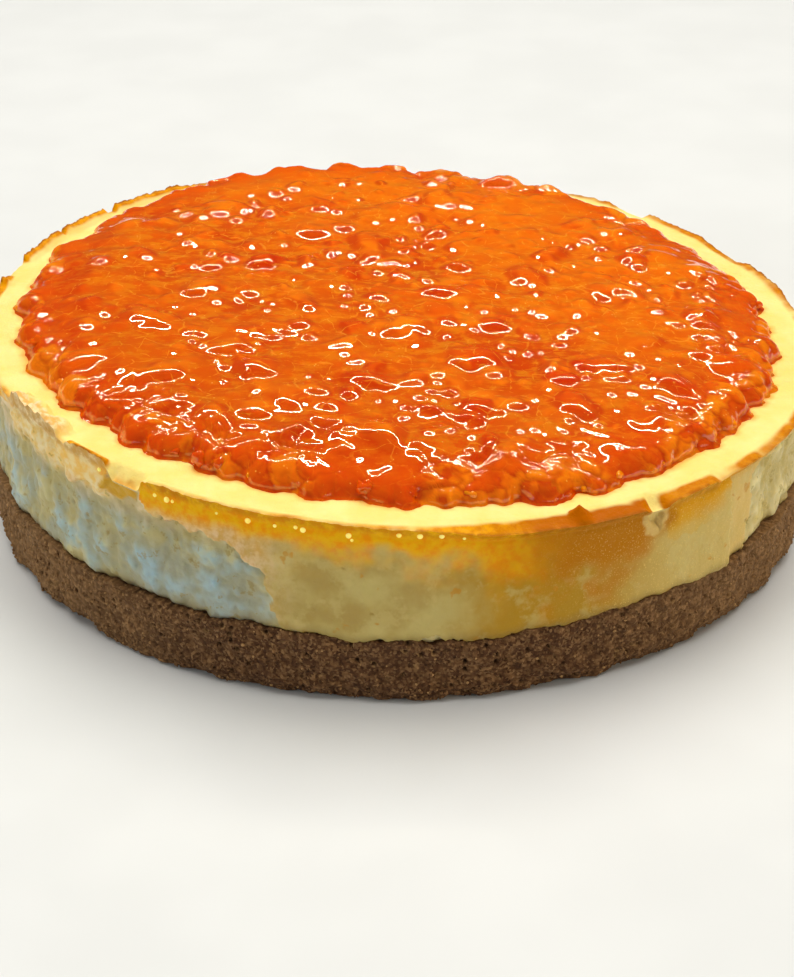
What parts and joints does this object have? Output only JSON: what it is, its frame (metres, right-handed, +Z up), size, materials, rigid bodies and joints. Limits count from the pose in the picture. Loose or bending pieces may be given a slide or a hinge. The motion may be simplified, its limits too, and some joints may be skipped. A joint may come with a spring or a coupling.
{
  "type": "cheesecake",
  "caption": "Whole round baked cheesecake: crumb base, pale set filling with a torn side and browned lip, and a glossy topping of fruit pieces in orange jelly.",
  "frame": {"origin": "Middle of the underside of the biscuit base, on the surface that the cake stands on.", "axes": "+Z is up, along the shortest extent. -Y is the side that faces the picture's camera and +X is that view's right."},
  "size_m": [0.2416, 0.24, 0.065],
  "materials": {
    "pressed_biscuit": "pressed brown biscuit crumb, rough and dry",
    "baked_cheese": "set cheese custard, pale cream inside and golden brown on its skin",
    "fruit_in_jelly": "soft orange fruit in clear wet jelly, very glossy"
  },
  "bodies": {
    "root": {"biscuit_base": "pressed_biscuit", "cheese_filling": "baked_cheese", "fruit_topping": "fruit_in_jelly"}
  },
  "joints": []
}
